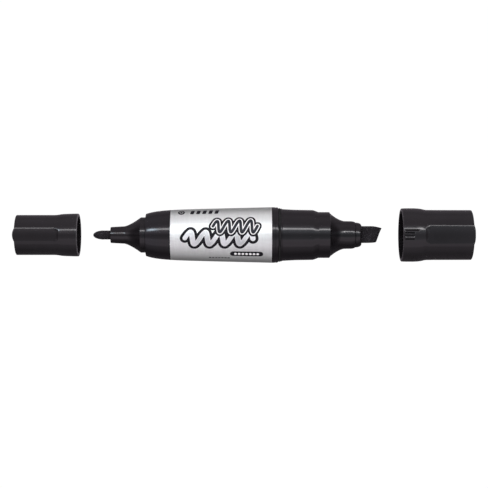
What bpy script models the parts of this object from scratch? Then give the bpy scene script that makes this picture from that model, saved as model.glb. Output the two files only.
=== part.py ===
"""Twin-tip felt marker with both caps pulled off along the pen's axis.

The pen lies along X: bullet tip towards -X, chisel tip towards +X, +Z up, and
the origin is on the axis, halfway between the closed ends of the two caps.
Lengths are in millimetres and are scaled once, when a mesh is made. Names
ending in _R are radii, and those ending in _LEFT, _RIGHT or _X are places on X.
A section is a list of (x, radius) points, and the radius may be a function of
the angle round the axis.
"""

import math
from dataclasses import dataclass

import bmesh
import bpy

MM = 0.001
TAU = 2 * math.pi
FACETS = 36  # round a turned piece
FINE_FACETS = 24  # round a small inner piece
SHARP_ANGLE = math.radians(32)
PIVOT_SIZE = 5.0

# Faces that pieces seat against, shared by neighbouring pieces
BARREL_LEFT = -43.57  # shoulder next to the bullet nose
BARREL_RIGHT = 15.20  # face next to the gasket
NOSE_FLANGE = 16.20  # left face of the chisel nose's flange
SEAT_GAP = 0.15


# Shared building steps

def clear_scene():
    for obj in list(bpy.data.objects):
        bpy.data.objects.remove(obj, do_unlink=True)


def pivot(name, x):
    """An empty on the pen's axis, which a group of pieces moves with."""
    empty = bpy.data.objects.new(name, None)
    empty.empty_display_size = PIVOT_SIZE * MM
    empty.location = (x * MM, 0, 0)
    bpy.context.scene.collection.objects.link(empty)
    return empty


def evenly(start, end, steps):
    return [start + (end - start) * i / steps for i in range(steps + 1)]


def round_angles(count):
    return [TAU * i / count for i in range(count)]


def value_at(value, angle):
    return value(angle) if callable(value) else value


def ring(angles, x, radius):
    """Points round the X axis, the angle running from +Y towards +Z.

    x and radius may each be a function of the angle.
    """
    points = []
    for angle in angles:
        reach = value_at(radius, angle)
        points.append((value_at(x, angle), reach * math.cos(angle), reach * math.sin(angle)))
    return points


def solid(name, rings, closed, finish, origin_x, parent=None):
    """A skin over rings of equal length.

    A closed section is a tube, and an open one gets a face at each end.
    """
    build_mesh = bmesh.new()
    rows = [
        [build_mesh.verts.new(((x - origin_x) * MM, y * MM, z * MM)) for x, y, z in points]
        for points in rings
    ]
    count = len(rows[0])
    following = rows[1:] + [rows[0]] if closed else rows[1:]
    for low, high in zip(rows, following):
        for i in range(count):
            j = (i + 1) % count
            build_mesh.faces.new((low[i], low[j], high[j], high[i]))
    if not closed:
        build_mesh.faces.new(rows[0])
        build_mesh.faces.new(rows[-1])
    bmesh.ops.recalc_face_normals(build_mesh, faces=build_mesh.faces)
    mesh = bpy.data.meshes.new(name)
    build_mesh.to_mesh(mesh)
    build_mesh.free()
    mesh.shade_smooth()
    mesh.set_sharp_from_angle(angle=SHARP_ANGLE)
    mesh.materials.append(finish)
    obj = bpy.data.objects.new(name, mesh)
    bpy.context.scene.collection.objects.link(obj)
    obj.parent = parent
    parent_x = parent.location.x if parent else 0.0
    obj.location = (origin_x * MM - parent_x, 0, 0)
    return obj


def turned(name, section, closed, finish, origin_x, parent=None, facets=FACETS):
    angles = round_angles(facets)
    rings = [ring(angles, x, radius) for x, radius in section]
    return solid(name, rings, closed, finish, origin_x, parent)


# Materials

BLACK = (0.021, 0.020, 0.022)
FINISHES = {
    "barrel_plastic": dict(colour=BLACK, roughness=0.32),
    "nose_plastic": dict(colour=BLACK, roughness=0.34),
    "cap_plastic": dict(colour=(0.018, 0.018, 0.020), roughness=0.30),
    "label_film": dict(colour=(0.62, 0.62, 0.64), roughness=0.30, metallic=0.85),
    "nib_felt": dict(colour=(0.016, 0.015, 0.017), roughness=0.85),
    "reservoir_fibre": dict(colour=(0.05, 0.05, 0.06), roughness=0.95),
    "reservoir_wrap": dict(colour=(0.75, 0.76, 0.78), roughness=0.25),
    "gasket_rubber": dict(colour=(0.012, 0.012, 0.013), roughness=0.75),
    "liner_plastic": dict(colour=(0.72, 0.72, 0.70), roughness=0.45),
}


def material(name, colour, roughness, metallic=0.0):
    made = bpy.data.materials.new(name)
    made.use_nodes = True
    shader = made.node_tree.nodes["Principled BSDF"]
    shader.inputs["Base Color"].default_value = (*colour, 1.0)
    shader.inputs["Roughness"].default_value = roughness
    shader.inputs["Metallic"].default_value = metallic
    return made


# Screw joint between barrel and chisel nose, a rounded moulded thread

THREAD_PITCH = 3.0
THREAD_HEIGHT = 0.70
THREAD_GAP = 0.35
THREAD_ROOT_R = 9.60  # root of the nose's thread
THREAD_BORE_R = THREAD_ROOT_R + THREAD_HEIGHT + THREAD_GAP  # root of the barrel's thread
THREAD_ROWS_PER_PITCH = 6
THREAD_FADE = 1.0  # length over which each end of a thread rises
FEMALE_FROM, FEMALE_TO = 4.5, 14.0
MALE_FROM, MALE_TO = 5.5, 13.5


def thread_section(start, end, root_r, side):
    """Section of a helical ridge. side is +1 where it stands outwards, -1 inwards."""

    def radius_at(x):
        height = max(0.0, min(1.0, (x - start) / THREAD_FADE, (end - x) / THREAD_FADE))
        half = height * THREAD_HEIGHT / 2
        return lambda angle: root_r + half * (side + math.cos(TAU * x / THREAD_PITCH - angle))

    step = THREAD_PITCH / THREAD_ROWS_PER_PITCH
    stations = [start + step * i for i in range(round((end - start) / step) + 1)]
    return [(x, radius_at(x)) for x in stations]


# Barrel, and the label let into a shallow recess so that it lies flush

BARREL_SHOULDER_R = 9.39
BARREL_MAX_R = 12.37
BARREL_SWELL = 0.55  # share of the taper that is spent near the shoulder
BARREL_SWELL_LENGTH = 0.09  # as a share of the taper's length
SHOULDER_CHAMFER = 0.15
SHOULDER_STATIONS = (-43.40, -42.3, -40.9, -39.2, -36.8)  # x, up to the label
# x, outer radius of the rounded right end
BARREL_END = [(14.02, BARREL_MAX_R), (14.60, 12.17), (15.10, 12.04), (BARREL_RIGHT, 11.90)]
BORE_CHAMFER, BORE_CHAMFER_LENGTH = 0.1, 0.3
BORE_LEFT = 3.6  # where the thread's bore starts
CHAMBER_RIGHT, CHAMBER_R = 3.0, 8.20
SOCKET_R = 7.00  # takes the bullet nose's plug
SOCKET_DEPTH = 7.4
SOCKET_CONE = 0.8  # length of the cone from socket to chamber

LABEL_LEFT, LABEL_RIGHT = -32.80, 12.45
LABEL_THICK = 0.20
LABEL_RECESS = 0.35
LABEL_END_GAP = 0.15
LABEL_STEPS = 4


def barrel_radius(x):
    """The outer radius: a quick swell by the shoulder, then an even taper to the wide end."""
    along = (x - BARREL_LEFT) / (LABEL_RIGHT - BARREL_LEFT)
    swell = BARREL_SWELL * (1 - math.exp(-along / BARREL_SWELL_LENGTH))
    share = swell + (1 - BARREL_SWELL) * along
    return BARREL_SHOULDER_R + (BARREL_MAX_R - BARREL_SHOULDER_R) * share


def label_stations():
    return evenly(LABEL_LEFT + LABEL_END_GAP, LABEL_RIGHT - LABEL_END_GAP, LABEL_STEPS)


def make_barrel(finish):
    section = [(BARREL_LEFT, SOCKET_R), (BARREL_LEFT, BARREL_SHOULDER_R - SHOULDER_CHAMFER)]
    section += [(x, barrel_radius(x)) for x in (*SHOULDER_STATIONS, LABEL_LEFT)]
    recess = (LABEL_LEFT, *label_stations()[1:-1], LABEL_RIGHT)
    section += [(x, barrel_radius(x) - LABEL_RECESS) for x in recess]
    section += [(LABEL_RIGHT, BARREL_MAX_R)] + BARREL_END
    # Back along the inside, towards -X
    section += [
        (BARREL_RIGHT, THREAD_BORE_R + BORE_CHAMFER),
        (BARREL_RIGHT - BORE_CHAMFER_LENGTH, THREAD_BORE_R),
    ]
    section += reversed(thread_section(FEMALE_FROM, FEMALE_TO, THREAD_BORE_R, -1))
    section += [(BORE_LEFT, THREAD_BORE_R), (CHAMBER_RIGHT, CHAMBER_R)]
    socket_end = BARREL_LEFT + SOCKET_DEPTH
    section += [(socket_end + SOCKET_CONE, CHAMBER_R), (socket_end, SOCKET_R)]
    return turned("barrel", section, True, finish, BARREL_LEFT)


def make_label(finish):
    outer = [(x, barrel_radius(x)) for x in label_stations()]
    inner = [(x, radius - LABEL_THICK) for x, radius in reversed(outer)]
    return turned("label", outer + inner, True, finish, LABEL_LEFT)


# Bullet nose and nib

BULLET_NIB_R = 2.00
BULLET_NIB_TIP = -67.24
BULLET_NIB_ROUND = 4.5  # length of the rounded tip
BULLET_NIB_ROUND_STEPS = 6
BULLET_NIB_TAIL = -35.9
BULLET_NIB_CHAMFER = 0.5

BULLET_BORE_R = BULLET_NIB_R + 0.20  # the nib's play
BULLET_FACE, BULLET_FACE_R = -59.27, 3.52
BULLET_FACE_CHAMFER = 0.1
BULLET_NECK, BULLET_NECK_R = -53.40, 3.84
BULLET_COLLAR, BULLET_COLLAR_R = -45.84, 7.85
BULLET_FLARE_POWER = 1.4
BULLET_FLARE_STEPS = 7
BULLET_COLLAR_RIGHT = BARREL_LEFT - SEAT_GAP
# x, radius: out along the plug with its raised band, then back along its bore
BULLET_PLUG = [
    (BULLET_COLLAR_RIGHT, 6.7), (-40.6, 6.7), (-40.2, 6.85), (-39.4, 6.85), (-39.0, 6.7),
    (-37.0, 6.6), (-37.0, 5.2), (-44.0, 5.2), (-51.0, BULLET_BORE_R),
]


def bullet_flare(x):
    along = (x - BULLET_NECK) / (BULLET_COLLAR - BULLET_NECK)
    return BULLET_NECK_R + (BULLET_COLLAR_R - BULLET_NECK_R) * along**BULLET_FLARE_POWER


def make_bullet_nose(finish):
    section = [
        (BULLET_FACE, BULLET_BORE_R),
        (BULLET_FACE, BULLET_FACE_R - BULLET_FACE_CHAMFER),
        (BULLET_FACE + BULLET_FACE_CHAMFER, BULLET_FACE_R),
    ]
    flare_stations = evenly(BULLET_NECK, BULLET_COLLAR, BULLET_FLARE_STEPS)
    section += [(x, bullet_flare(x)) for x in flare_stations]
    section += [(BULLET_COLLAR_RIGHT, BULLET_COLLAR_R)] + BULLET_PLUG
    return turned("bullet_nose", section, True, finish, BULLET_FACE)


def make_bullet_nib(finish):
    section = []
    for i in range(1, BULLET_NIB_ROUND_STEPS + 1):
        turn = (math.pi / 2) * i / BULLET_NIB_ROUND_STEPS
        x = BULLET_NIB_TIP + BULLET_NIB_ROUND * (1 - math.cos(turn))
        section.append((x, BULLET_NIB_R * math.sin(turn)))
    section += [
        (BULLET_NIB_TAIL - BULLET_NIB_CHAMFER, BULLET_NIB_R),
        (BULLET_NIB_TAIL, BULLET_NIB_R - BULLET_NIB_CHAMFER),
    ]
    return turned("bullet_nib", section, False, finish, BULLET_NIB_TIP, facets=FINE_FACETS)


# Ink reservoir: a fibre core in a thin sleeve of film

CORE_LEFT, CORE_RIGHT, CORE_R = -35.6, 25.7, 7.30
FILM_INSET = 0.4  # how far the core shows at each end
FILM_IN_R = CORE_R + 0.15
FILM_OUT_R = FILM_IN_R + 0.20


def make_reservoir_core(finish):
    section = [(CORE_LEFT, CORE_R), (CORE_RIGHT, CORE_R)]
    return turned("reservoir_core", section, False, finish, CORE_LEFT)


def make_reservoir_film(finish):
    left, right = CORE_LEFT + FILM_INSET, CORE_RIGHT - FILM_INSET
    section = [(left, FILM_IN_R), (left, FILM_OUT_R), (right, FILM_OUT_R), (right, FILM_IN_R)]
    return turned("reservoir_film", section, True, finish, CORE_LEFT)


# Gasket between barrel and chisel nose

GASKET_LEFT = BARREL_RIGHT + SEAT_GAP
GASKET_RIGHT = NOSE_FLANGE - SEAT_GAP
GASKET_IN_R, GASKET_OUT_R = 10.55, 11.95
GASKET_BULGE = 0.12


def make_gasket(finish, parent):
    section = [
        (GASKET_LEFT, GASKET_IN_R),
        (GASKET_LEFT, GASKET_OUT_R - GASKET_BULGE),
        ((GASKET_LEFT + GASKET_RIGHT) / 2, GASKET_OUT_R),
        (GASKET_RIGHT, GASKET_OUT_R - GASKET_BULGE),
        (GASKET_RIGHT, GASKET_IN_R),
    ]
    return turned("nose_gasket", section, True, finish, GASKET_LEFT, parent)


# Chisel nose

NOSE_COLLAR_R = 10.19
# x, radius: from the flange over the waisted grip and its edge to the collar
NOSE_GRIP = [
    (NOSE_FLANGE, THREAD_ROOT_R), (NOSE_FLANGE, 11.85), (16.9, 11.53), (18.7, 11.40),
    (22.7, 11.20), (30.60, 11.08), (31.0, 10.93), (32.9, 10.25), (33.00, NOSE_COLLAR_R),
]
NOSE_COLLAR_RIGHT = 37.00
NOSE_CORNER_RIGHT = 38.45  # where the collar's rounded corner would end
NOSE_CORNER_STEPS = 4
NOSE_FLARE, NOSE_FLARE_R = 38.40, 9.46
NOSE_TIP, NOSE_TIP_R = 44.70, 6.17
NOSE_FLARE_POWER = 1.576
NOSE_FLARE_STEPS = 5
NOSE_FACE = 49.30
NOSE_END = [(47.6, 6.10), (48.6, 5.93), (NOSE_FACE, 5.60)]  # x, outer radius
NOSE_NIB_BORE_R, NOSE_NIB_BORE_LEFT = 5.25, 31.0
NOSE_BORE_R, NOSE_BORE_RIGHT = 8.10, 27.0
SPIGOT_LEFT = 4.20
SPIGOT_CHAMFER = 0.4


def collar_corner():
    """An elliptical corner from collar to flare, without its last point."""
    points = []
    for i in range(NOSE_CORNER_STEPS):
        turn = (math.pi / 2) * i / NOSE_CORNER_STEPS
        x = NOSE_COLLAR_RIGHT + (NOSE_CORNER_RIGHT - NOSE_COLLAR_RIGHT) * math.sin(turn)
        radius = NOSE_FLARE_R + (NOSE_COLLAR_R - NOSE_FLARE_R) * math.cos(turn)
        points.append((x, radius))
    return points


def nose_flare(x):
    along = (NOSE_TIP - x) / (NOSE_TIP - NOSE_FLARE)
    return NOSE_TIP_R + (NOSE_FLARE_R - NOSE_TIP_R) * along**NOSE_FLARE_POWER


def make_chisel_nose(finish, parent):
    section = NOSE_GRIP + collar_corner()
    section += [(x, nose_flare(x)) for x in evenly(NOSE_FLARE, NOSE_TIP, NOSE_FLARE_STEPS)]
    section += NOSE_END
    # Back through the bore, then out along the threaded spigot
    section += [
        (NOSE_FACE, NOSE_NIB_BORE_R),
        (NOSE_NIB_BORE_LEFT, NOSE_NIB_BORE_R),
        (NOSE_BORE_RIGHT, NOSE_BORE_R),
        (SPIGOT_LEFT, NOSE_BORE_R),
        (SPIGOT_LEFT, THREAD_ROOT_R - SPIGOT_CHAMFER),
        (SPIGOT_LEFT + SPIGOT_CHAMFER, THREAD_ROOT_R),
    ]
    section += thread_section(MALE_FROM, MALE_TO, THREAD_ROOT_R, 1)
    return turned("chisel_nose", section, True, finish, NOSE_FLANGE, parent)


# Chisel nib and the ring that holds it. Thickness is along Y, width along Z.

NIB_HALF_THICK, NIB_HALF_WIDE = 2.10, 3.70
NIB_LIFT = 0.20  # the nib's centre lies this far above the axis
NIB_SQUARENESS = 8  # power of the superellipse
NIB_SLOT_GAP = 0.16
NIB_TAIL_HALF_THICK, NIB_TAIL_HALF_WIDE = 1.60, 2.60
NIB_TAIL_LEFT, NIB_TAIL_RIGHT = 26.05, 40.5
NIB_BODY_LEFT, NIB_BODY_RIGHT = 42.5, 56.5
NIB_EDGE_X = 59.72  # writing edge at the nib's middle
NIB_EDGE_SLANT = 0.359  # rise in x for each unit of z
NIB_BEVEL_LENGTH = 1.5
NIB_EDGE_HALF_THICK = 1.15
NIB_EDGE_HALF_WIDE = NIB_HALF_WIDE - 0.45

RING_LEFT, RING_RIGHT = NOSE_FACE + SEAT_GAP, 52.07
RING_SLEEVE_LEFT, RING_SLEEVE_R = 42.0, 5.02
RING_R = 5.43
# x, outer radius of the sleeve inside the nose and the rounded ring outside it
RING_OUTER = [
    (RING_SLEEVE_LEFT, RING_SLEEVE_R), (RING_LEFT, RING_SLEEVE_R), (RING_LEFT, RING_R),
    (50.3, RING_R - 0.05), (51.1, 5.22), (51.65, 4.95), (RING_RIGHT, 4.70),
]


def blunt(half_thick, half_wide):
    """The radius of a rounded rectangle as a function of the angle."""

    def radius(angle):
        across = abs(math.cos(angle)) / half_thick
        along = abs(math.sin(angle)) / half_wide
        return (across**NIB_SQUARENESS + along**NIB_SQUARENESS) ** (-1 / NIB_SQUARENESS)

    return radius


def slanted(middle_x, radius):
    """The place on X, as a function of the angle, of a ring that leans with the edge."""
    return lambda angle: middle_x + NIB_EDGE_SLANT * radius(angle) * math.sin(angle)


def lifted(points):
    return [(x, y, z + NIB_LIFT) for x, y, z in points]


def make_chisel_nib(finish, parent):
    tail = blunt(NIB_TAIL_HALF_THICK, NIB_TAIL_HALF_WIDE)
    body = blunt(NIB_HALF_THICK, NIB_HALF_WIDE)
    edge = blunt(NIB_EDGE_HALF_THICK, NIB_EDGE_HALF_WIDE)
    section = [
        (NIB_TAIL_LEFT, tail),
        (NIB_TAIL_RIGHT, tail),
        (NIB_BODY_LEFT, body),
        (NIB_BODY_RIGHT, body),
        (slanted(NIB_EDGE_X - NIB_BEVEL_LENGTH, body), body),
        (slanted(NIB_EDGE_X, edge), edge),
    ]
    angles = round_angles(FINE_FACETS)
    rings = [lifted(ring(angles, x, radius)) for x, radius in section]
    return solid("chisel_nib", rings, False, finish, NIB_TAIL_LEFT, parent)


def make_nib_ring(finish, parent):
    angles = round_angles(FINE_FACETS)
    slot = blunt(NIB_HALF_THICK + NIB_SLOT_GAP, NIB_HALF_WIDE + NIB_SLOT_GAP)
    rings = [ring(angles, x, radius) for x, radius in RING_OUTER]
    rings += [lifted(ring(angles, x, slot)) for x in (RING_RIGHT, RING_SLEEVE_LEFT)]
    return solid("chisel_nib_ring", rings, True, finish, RING_LEFT, parent)


# Caps: a round cup with three flat panels at 120 degrees that stop it rolling,
# and a sealing cup, the liner, inside

PANEL_ANGLES = (180.0, 300.0, 60.0)
PANEL_PITCH = math.radians(120)
PANEL_STEPS = 4
PANEL_EDGE = math.radians(1.4)  # angle between a panel and the arc beside it
PANEL_INSET = 0.35  # chamfer of a panel at the closed end
ARC_STEPS = 8
CAP_WALL = 1.3
CAP_FILLET = 1.1
CAP_FACE_INSET = 0.15  # from the fillet to the rim of the end face
CAP_LIP = 0.2
CAP_STEP_LENGTH = 0.6  # cone between the mouth and the inner bore
LINER_GAP = 0.20
LINER_FLOOR = 1.0
LINER_FLANGE_SLOPE = 0.01  # the flange's open side is this far from flat
LINER_CHAMFER, LINER_CHAMFER_LENGTH = 0.2, 0.5
CAP_END = 101.50  # distance of each closed end from the origin


@dataclass
class Cap:
    name: str
    end: float  # x of the closed end
    rim: float  # x of the open end
    core_r: float
    rim_r: float
    panel_to: float  # x where the flat panels run out
    skirt: float  # x where the flare to the rim slackens
    panel_half: float  # half a panel's width
    panel_lift: float  # how far a panel's corners stand above core_r
    mouth_r: float
    mouth_depth: float
    in_r: float
    liner_mouth: float  # x of the liner's open end
    liner_in_r: float
    liner_out_r: float

    @property
    def way(self):
        """The direction along X from the closed end to the rim."""
        return 1 if self.rim > self.end else -1


BULLET_CAP = Cap(
    name="bullet_cap", end=-CAP_END, rim=-73.43, core_r=8.885, rim_r=9.52,
    panel_to=-83.3, skirt=-81.3, panel_half=3.05, panel_lift=0.18,
    mouth_r=8.25, mouth_depth=6.0, in_r=7.70,
    liner_mouth=-83.6, liner_in_r=4.15, liner_out_r=4.95,
)
CHISEL_CAP = Cap(
    name="chisel_cap", end=CAP_END, rim=69.80, core_r=11.09, rim_r=11.86,
    panel_to=81.3, skirt=78.6, panel_half=4.40, panel_lift=0.20,
    mouth_r=10.55, mouth_depth=9.5, in_r=9.90,
    liner_mouth=81.7, liner_in_r=6.45, liner_out_r=7.30,
)


def panel_angles(half_angle):
    """(angle, offset from the panel's middle) round a cap. The offset is None on an arc."""
    marked = []
    for centre in PANEL_ANGLES:
        middle = math.radians(centre)
        for offset in evenly(-half_angle, half_angle, PANEL_STEPS):
            marked.append((middle + offset, offset))
        start = half_angle + PANEL_EDGE
        for offset in evenly(start, PANEL_PITCH - start, ARC_STEPS):
            marked.append((middle + offset, None))
    return marked


def make_cap(cap, finish, parent):
    way, end, rim, core_r = cap.way, cap.end, cap.rim, cap.core_r
    corner_r = core_r + cap.panel_lift
    half_angle = math.asin(cap.panel_half / corner_r)
    plane = corner_r * math.cos(half_angle)  # distance of a panel from the axis
    marked = panel_angles(half_angle)
    angles = [angle for angle, _ in marked]

    def flat(offset):
        return plane / math.cos(offset)

    def panelled(panel_x, panel_r, arc_x, arc_r):
        """A ring with its panel points at one place and the arcs between them at another."""
        points = []
        for angle, offset in marked:
            if offset is None:
                points += ring([angle], arc_x, arc_r)
            else:
                points += ring([angle], panel_x, value_at(panel_r, offset))
        return points

    fillet_x = end + way * CAP_FILLET
    rings = [
        ring(angles, end, core_r - CAP_FILLET - CAP_FACE_INSET),
        panelled(
            end, plane - PANEL_INSET, end + way * CAP_FILLET * 0.13, core_r - CAP_FILLET * 0.5
        ),
        panelled(end, flat, end + way * CAP_FILLET * 0.5, core_r - CAP_FILLET * 0.13),
        panelled(fillet_x, flat, fillet_x, core_r),
        panelled(cap.panel_to, flat, cap.panel_to, core_r),
    ]
    # x, share of the flare from core_r to rim_r
    flare = (
        (cap.panel_to + (cap.skirt - cap.panel_to) * 0.55, 0.35),
        (cap.skirt, 0.72),
        (cap.skirt + way * 1.9, 0.90),
    )
    section = [(x, core_r + (cap.rim_r - core_r) * share) for x, share in flare]
    lip_x = rim - way * CAP_LIP
    step_x = rim - way * cap.mouth_depth
    section += [
        (lip_x, cap.rim_r),
        (rim, cap.rim_r - CAP_LIP),
        (rim, cap.mouth_r + CAP_LIP),
        (lip_x, cap.mouth_r),
        (step_x, cap.mouth_r),
        (step_x - way * CAP_STEP_LENGTH, cap.in_r),
        (end + way * CAP_WALL, cap.in_r),
    ]
    rings += [ring(angles, x, radius) for x, radius in section]
    return solid(cap.name, rings, False, finish, rim, parent)


def make_liner(cap, finish, parent):
    """A thin cup with a flange that sits by the cap's floor."""
    way, mouth = cap.way, cap.liner_mouth
    back = cap.end + way * (CAP_WALL + LINER_GAP)
    floor = back + way * LINER_FLOOR
    flange_r = cap.in_r - LINER_GAP
    section = [
        (back, flange_r),
        (floor, flange_r),
        (floor + way * LINER_FLANGE_SLOPE, cap.liner_out_r),
        (mouth, cap.liner_out_r),
        (mouth, cap.liner_in_r + LINER_CHAMFER),
        (mouth - way * LINER_CHAMFER_LENGTH, cap.liner_in_r),
        (floor, cap.liner_in_r),
    ]
    return turned(f"{cap.name}_liner", section, False, finish, mouth, parent, FINE_FACETS)


def build():
    clear_scene()
    finishes = {name: material(name, **look) for name, look in FINISHES.items()}

    make_barrel(finishes["barrel_plastic"])
    make_label(finishes["label_film"])
    make_bullet_nose(finishes["nose_plastic"])
    make_bullet_nib(finishes["nib_felt"])
    make_reservoir_core(finishes["reservoir_fibre"])
    make_reservoir_film(finishes["reservoir_wrap"])

    screw = pivot("chisel_unit_axis", NOSE_FLANGE)
    make_gasket(finishes["gasket_rubber"], screw)
    make_chisel_nose(finishes["nose_plastic"], screw)
    make_nib_ring(finishes["nose_plastic"], screw)
    make_chisel_nib(finishes["nib_felt"], screw)

    for cap in (BULLET_CAP, CHISEL_CAP):
        axis = pivot(f"{cap.name}_axis", cap.rim)
        make_cap(cap, finishes["cap_plastic"], axis)
        make_liner(cap, finishes["liner_plastic"], axis)


build()
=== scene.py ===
"""A twin-tip marker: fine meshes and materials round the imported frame.

The pen's axis is the X axis, with the bullet nib at -X and the chisel nib at +X. The viewer looks
along +Y, and +Z is up. Meshes are described in millimetres and scaled once when they are made.
Shader distances, lights and the camera are in metres.
"""

import math
from functools import reduce
from types import SimpleNamespace

import bpy
import numpy as np
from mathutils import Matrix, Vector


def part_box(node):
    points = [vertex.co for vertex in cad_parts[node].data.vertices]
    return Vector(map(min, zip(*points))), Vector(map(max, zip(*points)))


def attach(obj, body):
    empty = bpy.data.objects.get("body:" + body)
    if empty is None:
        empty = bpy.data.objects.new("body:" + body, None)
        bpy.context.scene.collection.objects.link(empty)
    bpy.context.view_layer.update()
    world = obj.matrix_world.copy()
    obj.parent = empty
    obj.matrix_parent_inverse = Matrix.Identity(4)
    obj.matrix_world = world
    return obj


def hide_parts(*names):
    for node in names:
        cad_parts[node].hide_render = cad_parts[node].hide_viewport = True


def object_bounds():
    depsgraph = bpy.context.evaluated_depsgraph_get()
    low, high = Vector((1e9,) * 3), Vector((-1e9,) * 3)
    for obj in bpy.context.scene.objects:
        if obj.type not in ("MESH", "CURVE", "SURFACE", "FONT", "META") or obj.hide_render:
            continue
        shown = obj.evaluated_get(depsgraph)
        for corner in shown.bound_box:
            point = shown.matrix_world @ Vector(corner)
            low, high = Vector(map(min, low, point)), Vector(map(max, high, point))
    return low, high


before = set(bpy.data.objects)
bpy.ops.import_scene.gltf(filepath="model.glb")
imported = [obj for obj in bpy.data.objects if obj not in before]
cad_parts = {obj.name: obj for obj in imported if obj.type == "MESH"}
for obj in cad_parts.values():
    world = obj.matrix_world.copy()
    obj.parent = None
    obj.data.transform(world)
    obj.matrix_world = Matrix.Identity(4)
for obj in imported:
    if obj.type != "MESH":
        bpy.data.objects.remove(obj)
cad_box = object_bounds()

MM = 0.001
TAU = 2 * math.pi


def span(node):
    """A node's lowest and highest X in mm, and its largest radius."""
    lo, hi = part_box(node)
    return lo.x / MM, hi.x / MM, max(-lo.y, hi.y, -lo.z, hi.z) / MM


BARREL_LEFT, BARREL_RIGHT, BARREL_MAX_R = span("barrel")
LABEL_LEFT, LABEL_RIGHT, _ = span("label")
NOSE_LEFT, _, COLLAR_R = span("bullet_nose")
NIB_TIP, NIB_TAIL, NIB_R = span("bullet_nib")
GASKET_LEFT, GASKET_RIGHT, GASKET_R = span("nose_gasket")
SPIGOT_LEFT, NOSE_FACE, _ = span("chisel_nose")
BULLET_RIM = span("bullet_cap")[1]
CHISEL_RIM = span("chisel_cap")[0]

# ---------------------------------------------------------------- meshes


def smoothstep(start, end, x):
    share = np.clip((x - start) / (end - start), 0.0, 1.0)
    return share * share * (3 - 2 * share)


def smooth_min(first, second, width):
    share = np.clip(0.5 + 0.5 * (second - first) / width, 0.0, 1.0)
    return second * (1 - share) + first * share - width * share * (1 - share)


def stations(start, end, step):
    """Even places from start to end, about a step apart."""
    count = max(1, round(abs(end - start) / step))
    return [start + (end - start) * i / count for i in range(count + 1)]


def quarter_turn(steps, first=0):
    """(sine, cosine) at even steps over a quarter turn."""
    turns = [(math.pi / 2) * i / steps for i in range(first, steps + 1)]
    return [(math.sin(turn), math.cos(turn)) for turn in turns]


def filleted(points, closed=False, steps=5):
    """A turned section with rounded corners. points holds (x, radius) or (x, radius, fillet)."""
    out = []
    count = len(points)
    for i, point in enumerate(points):
        fillet = point[2] if len(point) > 2 else 0.0
        if fillet <= 0 or (not closed and i in (0, count - 1)):
            out.append(point[:2])
            continue
        corner = np.array(point[:2])
        before = np.array(points[i - 1][:2]) - corner
        after = np.array(points[(i + 1) % count][:2]) - corner
        length_before, length_after = np.linalg.norm(before), np.linalg.norm(after)
        before, after = before / length_before, after / length_after
        angle = math.acos(max(-1.0, min(1.0, float(before @ after))))
        if angle > math.pi - 0.02:  # all but straight
            out.append(point[:2])
            continue
        cut = min(fillet / math.tan(angle / 2), length_before * 0.49, length_after * 0.49)
        fillet = cut * math.tan(angle / 2)
        middle = (before + after) / np.linalg.norm(before + after)
        centre = corner + middle * fillet / math.sin(angle / 2)
        start, end = corner + before * cut - centre, corner + after * cut - centre
        sweep = math.atan2(start[0] * end[1] - start[1] * end[0], float(start @ end))
        for k in range(steps + 1):
            turn = sweep * k / steps
            cos, sin = math.cos(turn), math.sin(turn)
            x = centre[0] + (start[0] * cos - start[1] * sin)
            radius = centre[1] + (start[0] * sin + start[1] * cos)
            out.append((float(x), float(radius)))
    return out


def mesh_object(name, points_mm, faces, sharp_deg):
    mesh = bpy.data.meshes.new(name)
    mesh.from_pydata((np.asarray(points_mm, float) * MM).tolist(), [], faces)
    mesh.validate()
    mesh.update()
    mesh.shade_smooth()
    mesh.set_sharp_from_angle(angle=math.radians(sharp_deg))
    obj = bpy.data.objects.new(name, mesh)
    bpy.context.scene.collection.objects.link(obj)
    return obj


def even(count):
    return np.arange(count) * TAU / count


def ring(angles, x, radius):
    """Points round the X axis, from +Y towards +Z. 180 degrees faces the viewer."""
    x = np.broadcast_to(np.asarray(x, float), angles.shape)
    radius = np.broadcast_to(np.asarray(radius, float), angles.shape)
    return np.stack([x, radius * np.cos(angles), radius * np.sin(angles)], axis=1)


def skin(name, rings, closed, sharp_deg=38.0):
    """A surface over rings of equal length: a tube if closed, otherwise with a fan at each end."""
    count, rows = len(rings[0]), len(rings)
    points = np.concatenate(rings)
    faces = []
    for j in range(rows if closed else rows - 1):
        low, high = j * count, ((j + 1) % rows) * count
        for i in range(count):
            k = (i + 1) % count
            faces.append((low + i, low + k, high + k, high + i))
    if not closed:
        for first, order in ((0, 1), ((rows - 1) * count, -1)):
            middle = len(points)
            points = np.vstack([points, points[first : first + count].mean(axis=0)])
            loop = range(first, first + count)[::order]
            faces += [(middle, loop[(i + 1) % count], loop[i]) for i in range(count)]
    # The signed volume says whether the faces point outward.
    triangles = [face[:3] for face in faces]
    triangles += [(face[0], face[2], face[3]) for face in faces if len(face) == 4]
    first, second, third = points[np.array(triangles).T]
    if np.einsum("ij,ij->i", first, np.cross(second, third)).sum() < 0:
        faces = [tuple(reversed(face)) for face in faces]
    return mesh_object(name, points, faces, sharp_deg)


def turned(name, section, count, sharp_deg=38.0, closed=True):
    """section holds (x, radius), and the radius may be a function of the angles."""
    angles = even(count)
    rings = [ring(angles, x, r(angles) if callable(r) else r) for x, r in section]
    return skin(name, rings, closed, sharp_deg)


def dress(obj, body, material, slot, *nodes):
    obj.data.materials.append(material)
    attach(obj, body)
    if nodes:
        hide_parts(*nodes)


# ------------------------------------------------------------- materials


def shade(colour, factor, lift=0.0):
    return tuple(min(1.0, part * factor + lift) for part in colour)


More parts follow.
